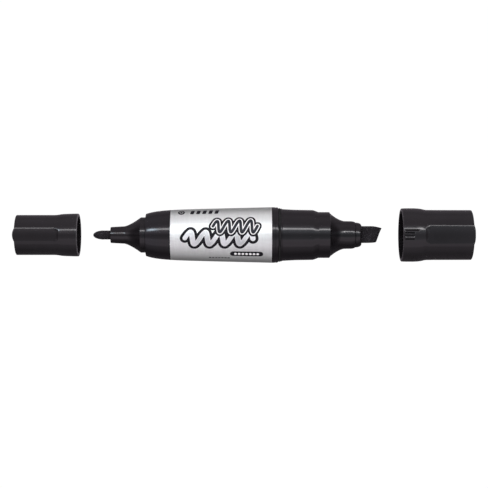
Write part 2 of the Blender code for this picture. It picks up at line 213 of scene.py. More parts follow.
class Net:
    """Writes the node tree of a material or world."""

    def __init__(self, owner):
        self.owner = owner
        owner.use_nodes = True
        self.tree = owner.node_tree
        self.tree.nodes.clear()

    def add(self, kind, *values, settings=(), **named):
        """A node with its inputs set by place or by name, with _ for a space."""
        node = self.tree.nodes.new("ShaderNode" + kind)
        for key, value in dict(settings).items():
            setattr(node, key, value)
        for i, value in enumerate(values):
            self.put(node.inputs[i], value)
        for key, value in named.items():
            self.put(node.inputs[key.replace("_", " ")], value)
        return node

    def put(self, target, value):
        if isinstance(value, bpy.types.NodeSocket):
            self.tree.links.new(value, target)
        elif target.type == "RGBA":
            target.default_value = (*value, 1.0)
        else:
            target.default_value = value

    def math(self, operation, a, b=0.0, c=0.0, clamp=False):
        settings = {"operation": operation, "use_clamp": clamp}
        return self.add("Math", a, b, c, settings=settings).outputs[0]

    def plus(self, a, b, clamp=False):
        return self.math("ADD", a, b, clamp=clamp)

    def minus(self, a, b):
        return self.math("SUBTRACT", a, b)

    def times(self, a, b):
        return self.math("MULTIPLY", a, b)

    def gap(self, a, b):
        return self.math("ABSOLUTE", self.minus(a, b))

    def remap(self, value, between, to=(0.0, 1.0), kind="LINEAR"):
        settings = {"interpolation_type": kind}
        return self.add("MapRange", value, *between, *to, settings=settings).outputs[0]

    def fade(self, value, between, to=(0.0, 1.0)):
        return self.remap(value, between, to, "SMOOTHSTEP")

    def mix(self, factor, a, b):
        node = self.add("Mix", factor, settings={"data_type": "RGBA"})
        self.put(node.inputs[6], a)
        self.put(node.inputs[7], b)
        return node.outputs[2]

    def mottle(self, pattern, between, colour, dark=1.0, light=1.0, lift=0.0):
        """Two shades of a colour, mixed by a pattern."""
        share = self.remap(pattern, between)
        return self.mix(share, shade(colour, dark), shade(colour, light, lift))

    def place(self):
        return self.add("TexCoord").outputs["Object"]

    def along_and_turn(self, place):
        """Metres along the pen, and the turn about its axis from -0.5 to 0.5 (0 at the viewer)."""
        parts = self.add("SeparateXYZ", place).outputs
        turn = self.math("ARCTAN2", parts[2], self.times(parts[1], -1.0))
        return parts[0], self.math("DIVIDE", turn, TAU)

    def noise(self, place, scale, detail, roughness):
        return self.add(
            "TexNoise", Vector=place, Scale=scale, Detail=detail, Roughness=roughness
        ).outputs[0]

    def stretched(self, place, scales, detail, roughness, rotation=(0.0, 0.0, 0.0)):
        """Noise with its own scale on each axis."""
        mapped = self.add("Mapping", Vector=place, Scale=scales, Rotation=rotation)
        return self.noise(mapped.outputs[0], 1.0, detail, roughness)

    def streaks(self, along, turn, per_metre, per_turn, start, detail, roughness):
        """Noise streaks that run round the pen. start picks the part of the noise."""
        x, y = self.times(along, per_metre), self.times(turn, per_turn)
        place = self.add("CombineXYZ", x, y, start)
        return self.noise(place.outputs[0], 1.0, detail, roughness)

    def bump(self, height, strength, depth, **normal):
        node = self.add("Bump", Height=height, Strength=strength, Distance=depth, **normal)
        return node.outputs[0]

    def finish(self, shader, output="OutputMaterial"):
        self.tree.links.new(shader.outputs[0], self.add(output).inputs[0])
        return self.owner

    def principled(self, colour, roughness, normal, **more):
        return self.finish(self.add(
            "BsdfPrincipled", Base_Color=colour, Roughness=roughness, Normal=normal, **more
        ))


def material_net(name):
    return Net(bpy.data.materials.new(name))


def cavity_shade(net, place, base, level, rough):
    """Painted shade: the plastic is coloured darker and reflects less where little light gets in,
    and in the bore it is coloured black, reflects little and is matt.
    """
    occlusion = net.add(
        "AmbientOcclusion", settings={"samples": 6, "only_local": True}, Distance=0.0009
    ).outputs["AO"]
    lit = net.remap(occlusion, (0.55, 0.92), to=(0.12, 1.0))
    base = net.mix(lit, (0.001, 0.001, 0.001), base)
    level = net.times(lit, level)
    # Faces turned towards the axis are the bore.
    facing = net.add("TexCoord").outputs["Normal"]
    radial = net.add(
        "VectorMath", place, (0.0, 1.0, 1.0), settings={"operation": "MULTIPLY"}
    ).outputs[0]
    outward = net.add(
        "VectorMath", facing, radial, settings={"operation": "DOT_PRODUCT"}
    ).outputs["Value"]
    bore = net.remap(outward, (-0.007, -0.003), to=(1.0, 0.0))
    # Painted shade in the bore: little reflection and a black colour.
    level = net.times(level, net.remap(bore, (0.0, 1.0), to=(1.0, 0.20)))
    rough = net.plus(rough, net.times(bore, 0.36))
    return net.mix(bore, base, BLACK), level, rough


def moulded(name, colour, roughness, level=0.5, rim_highlights=(), cool_before=None, cavity=False):
    """Moulded plastic: fine grain, faint flow marks, rubbed edges and a few hair scratches.

    level is the specular level. The rim highlights are (place along the pen in mm, strength) of
    painted highlights: paler lines round the caps' mouth rims. Reflections are tinted cooler before
    the place cool_before, in mm, as a painted cool sheen. cavity adds painted shade in hollows and
    in the bore.
    """
    net = material_net(name)
    place = net.place()
    if rim_highlights or cool_before is not None:
        along = net.add("SeparateXYZ", place).outputs[0]
    grain = net.noise(place, scale=5200.0, detail=2.0, roughness=0.55)
    broad = net.noise(place, scale=55.0, detail=3.0, roughness=0.5)
    flow = net.stretched(place, scales=(40.0, 420.0, 420.0), detail=2.0, roughness=0.5)
    scratch = net.stretched(
        place, scales=(260.0, 5200.0, 260.0), detail=1.0, roughness=0.4, rotation=(0.5, 0.3, 0.9)
    )
    scratch = net.remap(scratch, (0.70, 0.80))
    rough = net.remap(broad, (0.3, 0.7), to=(roughness * 0.90, roughness * 1.12))
    rough = net.plus(rough, net.times(net.minus(flow, 0.5), 0.05))
    rough = net.plus(rough, net.times(scratch, 0.06), clamp=True)

    pointiness = net.add("NewGeometry").outputs["Pointiness"]
    rubbed = net.fade(pointiness, (0.515, 0.60), to=(0.0, 0.22))
    base = net.mottle(broad, (0.35, 0.65), colour, dark=0.86, light=1.14)
    base = net.mix(rubbed, base, shade(colour, 2.6, lift=0.012))
    # Painted highlights: a paler line round each cap's mouth rim, where the rim would catch light.
    for rim, strength in rim_highlights:
        line = net.fade(net.gap(along, rim * MM), (0.00026, 0.00040), to=(1.0, 0.0))
        uneven = net.remap(broad, (0.3, 0.7), to=(0.75 * strength, strength))
        base = net.mix(net.times(line, uneven), base, (0.070, 0.066, 0.071))
    # Painted shade in hollows and in the bore.
    if cavity:
        base, level, rough = cavity_shade(net, place, base, level, rough)
    # Painted cool sheen: reflections on the plastic are tinted bluish before cool_before.
    tint = (1.0, 1.0, 1.0)
    if cool_before is not None:
        cool = net.fade(along, (cool_before * MM, (cool_before + 3.5) * MM), to=(1.0, 0.0))
        tint = net.mix(cool, tint, (0.96, 1.0, 1.035))

    normal = net.bump(grain, strength=0.04, depth=0.00002)
    normal = net.bump(flow, strength=0.05, depth=0.00003, Normal=normal)
    normal = net.bump(scratch, strength=0.05, depth=0.00001, Normal=normal)
    return net.principled(
        base, rough, normal, IOR=1.5, Specular_IOR_Level=level, Specular_Tint=tint
    )


def foil(name, colour, roughness, metallic):
    """Satin silver film with streaks that run round the pen, pale edges to the film, and painted
    shade where it turns away from the viewer.
    """
    net = material_net(name)
    along, turn = net.along_and_turn(net.place())
    fine = net.streaks(
        along, turn, per_metre=7000.0, per_turn=26.0, start=0.0, detail=3.0, roughness=0.6
    )
    wide = net.streaks(
        along, turn, per_metre=900.0, per_turn=7.0, start=3.0, detail=2.0, roughness=0.5
    )
    tone = net.plus(net.times(fine, 0.55), net.times(wide, 0.45))
    base = net.mottle(tone, (0.36, 0.64), colour, dark=0.955, light=1.035)
    from_left = net.minus(along, LABEL_LEFT * MM)
    from_right = net.minus(LABEL_RIGHT * MM, along)
    from_edge = net.math("MINIMUM", from_left, from_right)
    rim = net.fade(from_edge, (0.00035, 0.00060), to=(1.0, 0.0))
    base = net.mix(net.times(rim, 0.5), base, (0.97, 0.97, 0.98))
    # Painted shade: the film's colour darkens where it turns away from the viewer.
    turned_away = net.add("LayerWeight", Blend=0.5).outputs["Facing"]
    dark = net.fade(turned_away, (0.25, 0.70), to=(0.0, 0.5))
    base = net.mix(dark, base, (0.02, 0.02, 0.02))
    rough = net.remap(tone, (0.35, 0.65), to=(roughness * 0.92, roughness * 1.08))
    normal = net.bump(fine, strength=0.11, depth=0.00002)
    metal = net.minus(metallic, net.times(rim, 0.15))
    return net.principled(base, rough, normal, Metallic=metal)


def foil_ink(name, colour, roughness):
    """Thin tinted ink over the film: part metal, its tone sweeping slowly along the pen."""
    net = material_net(name)
    along, turn = net.along_and_turn(net.place())
    streak = net.streaks(
        along, turn, per_metre=6000.0, per_turn=24.0, start=5.0, detail=3.0, roughness=0.6
    )
    sweep = net.math("SINE", net.plus(net.times(along, 410.0), net.times(turn, 18.0)))
    sweep = net.math("MULTIPLY_ADD", sweep, 0.5, 0.5)
    tone = net.plus(net.times(streak, 0.7), net.times(sweep, 0.3))
    base = net.mottle(tone, (0.3, 0.75), colour, dark=0.80, light=1.18)
    rough = net.remap(streak, (0.3, 0.7), to=(roughness * 0.88, roughness * 1.15))
    normal = net.bump(streak, strength=0.12, depth=0.00002)
    return net.principled(base, rough, normal, Metallic=0.85)


def ink(name, colour, roughness):
    """Printed ink: almost flat, with the film's streaks just showing."""
    net = material_net(name)
    place = net.place()
    along, turn = net.along_and_turn(place)
    blotch = net.noise(place, scale=1800.0, detail=3.0, roughness=0.6)
    streak = net.streaks(
        along, turn, per_metre=5000.0, per_turn=20.0, start=1.0, detail=2.0, roughness=0.5
    )
    tone = net.plus(net.times(blotch, 0.6), net.times(streak, 0.4))
    base = net.mottle(tone, (0.3, 0.7), colour, dark=0.88, light=1.10)
    rough = net.remap(blotch, (0.3, 0.7), to=(roughness * 0.9, roughness * 1.1))
    normal = net.bump(streak, strength=0.08, depth=0.00001)
    return net.principled(base, rough, normal, Specular_IOR_Level=0.20)


def felt(name, colour):
    """Pressed felt full of ink: fibres along the nib, and tiny pits."""
    net = material_net(name)
    place = net.place()
    fibre = net.stretched(place, scales=(900.0, 6500.0, 6500.0), detail=4.0, roughness=0.65)
    pits = net.add("TexVoronoi", Vector=place, Scale=5200.0).outputs[0]
    broad = net.noise(place, scale=420.0, detail=2.0, roughness=0.5)
    base = net.mottle(fibre, (0.3, 0.72), colour, dark=0.62, light=1.35, lift=0.002)
    rough = net.remap(broad, (0.3, 0.7), to=(0.62, 0.92))
    normal = net.bump(fibre, strength=0.35, depth=0.00007)
    pits = net.remap(pits, (0.0, 0.5))
    normal = net.bump(pits, strength=0.35, depth=0.00004, Normal=normal)
    return net.principled(
        base, rough, normal, Specular_IOR_Level=0.22, Sheen_Weight=0.04, Sheen_Roughness=0.5
    )


def rubber(name, colour):
    net = material_net(name)
    place = net.place()
    fine = net.noise(place, scale=3800.0, detail=3.0, roughness=0.6)
    broad = net.noise(place, scale=160.0, detail=2.0, roughness=0.5)
    base = net.mottle(broad, (0.3, 0.7), colour, dark=0.8, light=1.5, lift=0.003)
    rough = net.remap(fine, (0.3, 0.7), to=(0.66, 0.84))
    normal = net.bump(fine, strength=0.25, depth=0.00003)
    return net.principled(base, rough, normal, Specular_IOR_Level=0.35)


def polyethylene(name, colour):
    """Waxy, slightly clouded plastic with faint ink stains."""
    net = material_net(name)
    place = net.place()
    cloud = net.noise(place, scale=240.0, detail=3.0, roughness=0.55)
    fine = net.noise(place, scale=2600.0, detail=2.0, roughness=0.5)
    stain = net.noise(place, scale=520.0, detail=4.0, roughness=0.7)
    base = net.mottle(cloud, (0.3, 0.7), colour, dark=0.93)
    base = net.mix(net.remap(stain, (0.62, 0.80), to=(0.0, 0.55)), base, (0.30, 0.30, 0.33))
    rough = net.remap(cloud, (0.3, 0.7), to=(0.38, 0.52))
    normal = net.bump(fine, strength=0.08, depth=0.00003)
    return net.principled(
        base, rough, normal,
        Subsurface_Weight=0.25, Subsurface_Radius=(0.002, 0.002, 0.002), Subsurface_Scale=1.0,
    )


def wadding(name, colour):
    """Loose strands along the pen."""
    net = material_net(name)
    scales = (180.0, 4200.0, 4200.0)
    strand = net.stretched(net.place(), scales, detail=5.0, roughness=0.7)
    base = net.mottle(strand, (0.3, 0.7), colour, dark=0.5, light=2.2)
    rough = net.remap(strand, (0.3, 0.7), to=(0.85, 1.0))
    normal = net.bump(strand, strength=0.7, depth=0.00012)
    return net.principled(base, rough, normal, Sheen_Weight=0.3)


def glossy_wrap(name, colour):
    """Glossy film, creased along the pen."""
    net = material_net(name)
    scales = (90.0, 700.0, 700.0)
    crease = net.stretched(net.place(), scales, detail=3.0, roughness=0.6)
    base = net.mottle(crease, (0.35, 0.65), colour, dark=0.85)
    rough = net.remap(crease, (0.3, 0.7), to=(0.18, 0.34))
    normal = net.bump(crease, strength=0.3, depth=0.00008)
    return net.principled(base, rough, normal, Coat_Weight=0.4, Coat_Roughness=0.1)


BLACK = (0.0072, 0.0062, 0.0074)
# The barrel's left end gets a painted cool sheen on its reflections.
body_black = moulded("body_black", BLACK, roughness=0.118, cool_before=-39.0)
nose_black = moulded("nose_black", BLACK, roughness=0.108)
# The caps get painted highlight lines round their mouth rims and painted shade in their hollows.
cap_black = moulded(
    "cap_black", (0.0152, 0.0138, 0.0155), roughness=0.108, level=0.35,
    rim_highlights=((BULLET_RIM, 1.0), (CHISEL_RIM, 0.3)), cavity=True,
)
silver = foil("silver_film", (0.930, 0.972, 0.934), roughness=0.51, metallic=0.75)
grey_ink = foil_ink("grey_ink", (0.835, 0.875, 0.86), roughness=0.55)
black_ink = ink("black_ink", (0.0085, 0.0085, 0.011), roughness=0.40)
slate_ink = ink("slate_ink", (0.022, 0.025, 0.032), roughness=0.36)
white_ink = ink("white_ink", (0.98, 0.98, 0.98), roughness=0.45)
nib_felt = felt("nib_felt", (0.0135, 0.0118, 0.0145))
gasket_rubber = rubber("gasket_rubber", (0.008, 0.008, 0.008))
cup_plastic = polyethylene("cup_plastic", (0.74, 0.74, 0.71))

# ---------------------------------------------------------------- barrel

RECESS_LEFT, RECESS_RIGHT = LABEL_LEFT + 0.15, LABEL_RIGHT
RECESS = 0.26  # depth of the label's recess
SHOULDER_R = 9.39
SWELL, SWELL_LENGTH = 0.55, 0.09  # share of the swelling near the left end, and how soon it comes
SOCKET_R, CHAMBER_R = 7.00, 8.20
THREAD_PITCH, THREAD_HEIGHT, THREAD_GAP = 3.0, 0.70, 0.35
THREAD_ROOT_R = 9.60
FEMALE_ROOT_R = THREAD_ROOT_R + THREAD_HEIGHT + THREAD_GAP
FEMALE, MALE = (4.5, 14.0), (5.5, 13.5)  # where each thread starts and ends in X


def barrel_radius(x):
    place = max(0.0, (x - BARREL_LEFT) / (RECESS_RIGHT - BARREL_LEFT))
    share = SWELL * (1 - math.exp(-place / SWELL_LENGTH)) + (1 - SWELL) * place
    return min(BARREL_MAX_R, SHOULDER_R + (BARREL_MAX_R - SHOULDER_R) * share)


def thread_radius(x, ends, outside):
    """The thread's radius at x, as a function of the angles."""
    fade = max(0.0, min(1.0, (x - ends[0]) / 1.0, (ends[1] - x) / 1.0))
    depth = fade * THREAD_HEIGHT / 2
    phase = TAU * x / THREAD_PITCH
    if outside:
        return lambda angles: THREAD_ROOT_R + depth * (1 + np.cos(phase - angles))
    return lambda angles: FEMALE_ROOT_R - depth * (1 - np.cos(phase - angles))


def build_barrel():
    left_r = barrel_radius(RECESS_LEFT)
    outer = [(BARREL_LEFT, SOCKET_R + 0.02, 0.15), (BARREL_LEFT, SHOULDER_R, 0.28)]
    outer += [(x, barrel_radius(x)) for x in stations(BARREL_LEFT + 0.9, RECESS_LEFT - 0.7, 0.6)]
    outer += [(RECESS_LEFT, left_r, 0.06), (RECESS_LEFT, left_r - RECESS)]
    outer += [
        (x, barrel_radius(x) - RECESS) for x in stations(RECESS_LEFT + 2, RECESS_RIGHT - 2, 3.0)
    ]
    outer += [
        (RECESS_RIGHT, BARREL_MAX_R - RECESS), (RECESS_RIGHT, BARREL_MAX_R, 0.05),
        # End ring: a fine groove, then a second narrower ring with a rounded end.
        (13.62, BARREL_MAX_R, 0.16),
        (13.80, BARREL_MAX_R - 0.16, 0.06), (13.92, BARREL_MAX_R - 0.16, 0.06),
        (14.08, BARREL_MAX_R - 0.05, 0.10), (14.60, 12.29, 0.14), (BARREL_RIGHT, 12.10, 0.16),
        (BARREL_RIGHT, FEMALE_ROOT_R + 0.12, 0.05), (BARREL_RIGHT - 0.3, FEMALE_ROOT_R),
    ]
    section = filleted(outer, steps=4)
    section += [(x, thread_radius(x, FEMALE, False)) for x in stations(*FEMALE[::-1], 0.25)]
    socket_end = BARREL_LEFT + 7.4
    section += [
        (3.6, FEMALE_ROOT_R), (3.0, CHAMBER_R),
        (socket_end + 0.8, CHAMBER_R), (socket_end, SOCKET_R),
    ]
    obj = turned("barrel_shell", section, 160)
    dress(obj, "barrel_unit", body_black, "body_plastic", "barrel")


def build_label():
    """The film, flush with the barrel, with a lapped seam at the back."""
    left, right = RECESS_LEFT + 0.05, RECESS_RIGHT - 0.05
    thick, end_drop, lap_height = 0.20, 0.05, 0.055
    xs = [left] + stations(left + 0.06, right - 0.06, 0.9) + [right]
    angles = even(240)
    from_back = np.degrees((angles + math.pi) % TAU - math.pi)
    lap = lap_height * smoothstep(-1.6, -0.4, from_back) * (1 - smoothstep(15.0, 16.0, from_back))
    rings = []
    for i, x in enumerate(xs):
        drop, share = (end_drop, 0.6) if i in (0, len(xs) - 1) else (0.0, 1.0)
        rings.append(ring(angles, x, barrel_radius(x) - drop + lap * share))
    for x in reversed(xs[:: max(1, len(xs) // 14)] + [xs[-1]]):
        rings.append(ring(angles, x, barrel_radius(x) - thick))
    obj = skin("label_film", rings, True)
    dress(obj, "barrel_unit", silver, "label_film", "label")


# -------------------------------------------------------------- bullet end

NECK, NECK_R, COLLAR = -53.40, 3.84, -45.84  # the nose flares from the neck to the collar
BULLET_LENGTH = 4.5  # the nib's rounded end


def build_bullet_nose():
    back = BARREL_LEFT - 0.06
    bore = NIB_R + 0.06

    def flare(x):
        share = (x - NECK) / (COLLAR - NECK)
        return NECK_R + (COLLAR_R - NECK_R) * share**1.4

    points = [(NOSE_LEFT, bore, 0.08), (NOSE_LEFT, 3.54, 0.22), (NECK - 0.8, 3.82)]
    points += [(x, flare(x)) for x in stations(NECK, COLLAR, 0.35)[:-1]]
    points += [
        (COLLAR, COLLAR_R, 0.25), (back, COLLAR_R, 0.06), (back, 6.7),
        # A low bead round the plug, then the bore.
        (-40.6, 6.7), (-40.2, 6.85), (-39.4, 6.85), (-39.0, 6.7),
        (-37.0, 6.6, 0.2), (-37.0, 5.2, 0.1), (-44.0, 5.2), (-51.0, bore + 0.1),
    ]
    obj = turned("bullet_nose_shell", filleted(points, True, 4), 128)
    dress(obj, "barrel_unit", nose_black, "body_plastic", "bullet_nose")


def build_bullet_nib():
    """A round felt nib with an elliptical end, a small writing flat and slightly uneven sides."""
    phases = np.random.default_rng(5).uniform(0, TAU, (4, 2))
    angles = even(96)

    def uneven(x):
        wobble = np.zeros_like(angles)
        for k, (round_phase, long_phase) in enumerate(phases):
            along = math.sin(0.9 * (k + 1) * x + long_phase)
            wobble += 0.012 * np.cos((k + 2) * angles + round_phase) * along
        return wobble

    rings = []
    for i, (sin, cos) in enumerate(quarter_turn(18, first=1)):
        x = NIB_TIP + BULLET_LENGTH * (1 - cos)
        radius = NIB_R * sin
        if i == 0:
            x += 0.02  # flattens the tip
        rings.append(ring(angles, x, radius + uneven(x) * min(1.0, radius)))
    for x in stations(NIB_TIP + 5.2, NOSE_LEFT + 1.0, 0.7):
        share = max(0.0, min(1.0, (NOSE_LEFT - x) / 0.6))
        rings.append(ring(angles, x, NIB_R + uneven(x) * share))
    rings.append(ring(angles, NIB_TAIL - 0.5, NIB_R))
    rings.append(ring(angles, NIB_TAIL, NIB_R - 0.5))
    obj = skin("bullet_nib_felt", rings, False, 60)
    dress(obj, "barrel_unit", nib_felt, "nib_felt", "bullet_nib")


# -------------------------------------------------------------- chisel end

CONE_END, CONE_END_R = 44.70, 6.17  # where the nose's flare ends
NIB_LIFT, HALF_THICK, HALF_WIDE = 0.20, 2.10, 3.70  # the chisel nib's section, and its rise in Z
FULL_HALF_WIDE = HALF_WIDE + 0.03
SLANT, EDGE_X = 0.359, 59.92  # lean of the writing edge, and its middle
LEAN_START, LEAN_END = 56.2, EDGE_X - 1.75

# Bevel of the writing end: (distance back from the edge, thinner by, narrower by)
BEVEL = (
    (1.55, 0.0, 0.0), (1.1, 0.22, 0.02), (0.6, 0.50, 0.05),
    (0.22, 0.74, 0.12), (0.06, 0.88, 0.22), (0.0, 1.04, 0.36),
)


def build_gasket():
    middle = (GASKET_LEFT + GASKET_RIGHT) / 2
    half = (GASKET_RIGHT - GASKET_LEFT) / 2 + 0.10
    inner, outer, bulge = 10.55, GASKET_R - 0.02, 0.30
    section = [(middle - half, inner)]
    for i in range(9):
        turn = math.pi * i / 8
        radius = outer - bulge + bulge * math.sin(turn)
        section.append((middle - half * math.cos(turn), radius))
    section.append((middle + half, inner))
    obj = turned("gasket_ring", section, 144, 50)
    dress(obj, "gasket_unit", gasket_rubber, "gasket_rubber", "nose_gasket")


def build_chisel_nose():
    def flare(x):
        return CONE_END_R + 0.181 * max(0.0, CONE_END - x) ** 1.576

    points = [
        (16.20, THREAD_ROOT_R, 0.1), (16.20, 11.76, 0.16), (16.50, 11.80, 0.14),
        (17.00, 11.53, 0.75), (18.7, 11.41, 1.0), (22.7, 11.21, 1.5), (30.55, 11.08, 0.30),
        (31.25, 10.88, 0.30), (32.75, 10.32, 0.20), (33.05, 10.20, 0.25), (37.98, 10.19, 0.45),
    ]
    points += [(x, flare(x)) for x in stations(38.2, CONE_END, 0.35)]
    points += [
        (47.9, 6.12, 0.8), (48.95, 5.88, 0.35), (NOSE_FACE, 5.70, 0.10), (NOSE_FACE, 5.2, 0.05),
        (31.0, 5.2), (27.0, 8.10), (SPIGOT_LEFT, 8.10, 0.1),
        (SPIGOT_LEFT, 9.2), (SPIGOT_LEFT + 0.4, THREAD_ROOT_R),
    ]
    section = filleted(points, steps=6)
    section += [(x, thread_radius(x, MALE, True)) for x in stations(*MALE, 0.25)]
    obj = turned("chisel_nose_shell", section, 160, 34)
    dress(obj, "chisel_unit", nose_black, "body_plastic", "chisel_nose")


def blunt(angles, half_thick, half_wide, power=10):
    """Radius of a rectangle with blunt corners. A higher power is squarer."""
    thick = (np.abs(np.cos(angles)) / half_thick) ** power
    wide = (np.abs(np.sin(angles)) / half_wide) ** power
    return (thick + wide) ** (-1 / power)


def lifted(points):
    return points + np.array([0.0, 0.0, NIB_LIFT])


def nib_angles():
    """Angles evenly spaced along the nib's outline, so the flats are not starved of points."""
    fine = np.linspace(0, TAU, 4001)
    outline = ring(fine, 0.0, blunt(fine, HALF_THICK, HALF_WIDE))
    steps = np.linalg.norm(np.diff(outline, axis=0), axis=1)
    length = np.concatenate([[0], np.cumsum(steps)])
    return np.interp(np.arange(120) * length[-1] / 120, length, fine)


def build_nib_ring():
    """The ring that holds the chisel nib: a rounded front, and a sleeve that goes into the nose."""
    lo, hi, _ = span("chisel_nib_ring")
    angles = nib_angles()
    back = NOSE_FACE + 0.10
    outer = [
        (lo, 4.8), (lo, 5.02, 0.1), (back, 5.02), (back, 5.54, 0.12), (50.45, 5.46, 0.8),
        (51.25, 5.24, 0.5), (51.80, 4.90, 0.3), (hi, 4.55, 0.12), (hi, 4.3),
    ]
    # The first and last points only guide the fillets next to them.
    rings = [ring(angles, x, r) for x, r in filleted(outer, steps=4)[1:-1]]
    slot = blunt(angles, HALF_THICK + 0.10, HALF_WIDE + 0.10)
    slot_mouth = blunt(angles, HALF_THICK + 0.26, HALF_WIDE + 0.22)
    for x, radius in ((hi, slot_mouth), (hi - 0.2, slot), (lo, slot)):
        rings.append(lifted(ring(angles, x, radius)))
    obj = skin("nib_holder_ring", rings, True, 40)
    dress(obj, "chisel_unit", nose_black, "body_plastic", "chisel_nib_ring")


def worn(points):
    """The upper edge drops and the lower edge lifts a little towards the writing end."""
    x, z = points[:, 0], points[:, 2]
    drop = 0.72 * smoothstep(56.2, 61.4, x) ** 1.4 * np.clip(z / HALF_WIDE, 0, 1) ** 2
    lift = 0.14 * smoothstep(55.0, 58.6, x) * np.clip(-z / HALF_WIDE, 0, 1) ** 2
    out = points.copy()
    out[:, 2] += lift - drop
    return out


def build_chisel_nib():
    """A flat felt nib with a slanted, bevelled writing edge, a little worn at its corners."""
    angles = nib_angles()
    phases = np.random.default_rng(11).uniform(0, TAU, (5, 3))

    def uneven(x):
        wobble = np.zeros_like(angles)
        for k, (round_phase, long_phase, _) in enumerate(phases):
            along = math.sin(0.8 * (k + 1) * x + long_phase)
            wobble += 0.010 * np.sin((2 * k + 3) * angles + round_phase) * along
        return wobble

    def worn_ring(x, lean, radius):
        return lifted(worn(ring(angles, x + lean * radius * np.sin(angles), radius)))

    tail = blunt(angles, 1.6, 2.6)
    full = blunt(angles, HALF_THICK, FULL_HALF_WIDE)
    body = ((26.05, tail), (40.5, tail), (42.5, full), (51.2, full))
    rings = [lifted(ring(angles, x, radius)) for x, radius in body]
    for x in stations(51.8, LEAN_START, 0.4):
        rings.append(worn_ring(x, 0.0, full + uneven(x) * min(1.0, (x - 51.8) / 0.8)))
    # The last few millimetres lean over to the slanted edge, then bevel in to it.
    for share in (0.2, 0.4, 0.6, 0.8, 1.0):
        x = LEAN_START + (LEAN_END - LEAN_START) * share
        rings.append(worn_ring(x, SLANT * share, full + uneven(x)))
    for back, thinner, narrower in BEVEL:
        x = EDGE_X - back
        radius = blunt(angles, HALF_THICK - thinner, FULL_HALF_WIDE - narrower, 9)
        rings.append(worn_ring(x, SLANT, radius + uneven(x) * 0.8))
    edge = blunt(angles, HALF_THICK - 1.6, HALF_WIDE - 1.2, 6)
    rings.append(worn_ring(EDGE_X + 0.03, SLANT, edge))
    obj = skin("chisel_nib_felt", rings, False, 60)
    dress(obj, "chisel_unit", nib_felt, "nib_felt", "chisel_nib")


# -------------------------------------------------------------------- caps

PANELS = np.radians([180.0, 300.0, 60.0])

# Grip grooves over each panel: height above the panel's middle line, depth,
# how far the upper and the lower side run, length.
GROOVES = (
    (2.32, 0.42, 0.16, 0.80, 7.1), (0.98, 0.36, 0.18, 0.42, 5.3),
    (-0.28, 0.34, 0.18, 0.90, 5.3), (-1.95, 0.30, 0.55, 0.16, 5.3),
)
GROOVE_R = 11.86  # radius at which heights over a panel are measured

# Sizes of the caps. way is +1 where the mouth faces +X. The panels are panel_half_w wide to each
# side, crowned to panel_curve, and run on past the closed end as low pads: face_inset and pad_rise
# are how far the face and the pads lie inside and outside the frame's end. draft narrows the core
# towards the end. blend is the softness of the panels' edges. skirt is (distance from the rim,
# radius). ramp is the distances between which the skirt gives way to the panels, and late is how
# that starts later towards a panel's sides, as (from, to, by how much).
BULLET_CAP = SimpleNamespace(
    name="bullet_cap", way=1, face_inset=0.37, pad_rise=0.44, pad_power=2.0, core_r=8.90,
    draft=0.0, panel_half_w=3.00, panel_curve=22.0, blend=0.15, mouth_r=8.22, mouth_depth=6.0,
    bore_r=7.70, ramp=(7.95, 9.35), late=(1.9, 2.95, 1.3), fillet=0.24, ribbed=False,
    skirt=(
        (0.0, 9.50), (1.0, 9.53), (4.0, 9.46), (6.0, 9.39), (7.2, 9.32),
        (8.0, 9.22), (8.7, 9.10), (9.5, 8.98), (10.3, 8.92), (11.5, 8.90),
    ),
)
CHISEL_CAP = SimpleNamespace(
    name="chisel_cap", way=-1, face_inset=0.50, pad_rise=0.10, pad_power=3.0, core_r=11.14,
    draft=0.06, panel_half_w=4.24, panel_curve=36.0, blend=0.14, mouth_r=10.53, mouth_depth=9.5,
    bore_r=9.90, ramp=(9.45, 11.70), late=(2.6, 4.2, 1.2), fillet=0.40, ribbed=True,
    skirt=(
        (0.0, 11.80), (1.4, 11.88), (3.2, 11.90), (6.0, 11.88), (7.2, 11.81), (8.4, 11.69),
        (9.3, 11.52), (10.2, 11.30), (11.0, 11.18), (12.0, 11.145), (13.5, 11.14),
    ),
)


def cap_ends(node, way):
    """X of a cap piece's closed end and of its mouth."""
    return span(node)[:2][::way]


def panel_offset(angles):
    """Signed angle to the nearest panel's middle."""
    offset = (angles[:, None] - PANELS[None, :] + math.pi) % TAU - math.pi
    return offset[np.arange(len(angles)), np.abs(offset).argmin(axis=1)]


def cap_angles(half, ribbed):
    """Angles with more points at the panels' edges, and across the grip grooves if any."""
    edge = math.radians(3.6)
    if ribbed:
        third = [
            np.radians(np.arange(-13.2, 12.2, 0.28)),
            np.linspace(math.radians(12.6), half - edge, 4),
            np.linspace(-half + edge, math.radians(-13.7), 3),
        ]
    else:
        third = [np.linspace(-half + edge, half - edge, 17)]
    third += [
        np.linspace(half - edge * 0.92, half + edge, 15),
        np.linspace(-half - edge, -half + edge * 0.92, 15),
        np.linspace(half + edge * 1.6, math.radians(120) - half - edge * 1.6, 20),
    ]
    third = np.unique(np.round(np.concatenate(third), 6))
    every = np.concatenate([panel + third for panel in PANELS]) % TAU
    return np.unique(np.round(every, 6))


def skirt_radius(cap, depth, length):
    """A smooth reading of the skirt's profile, and past it the drafted core."""
    depths, radii = np.array(cap.skirt).T
    if depth >= depths[-1]:
        return cap.core_r - cap.draft * (depth / length)
    slopes = np.gradient(radii, depths)
    i = int(np.clip(np.searchsorted(depths, depth) - 1, 0, len(depths) - 2))
    step = depths[i + 1] - depths[i]
    t = float(np.clip((depth - depths[i]) / step, 0, 1))
    return float(
        (2 * t**3 - 3 * t**2 + 1) * radii[i] + (t**3 - 2 * t**2 + t) * slopes[i] * step
        + (-2 * t**3 + 3 * t**2) * radii[i + 1] + (t**3 - t**2) * slopes[i + 1] * step
    )


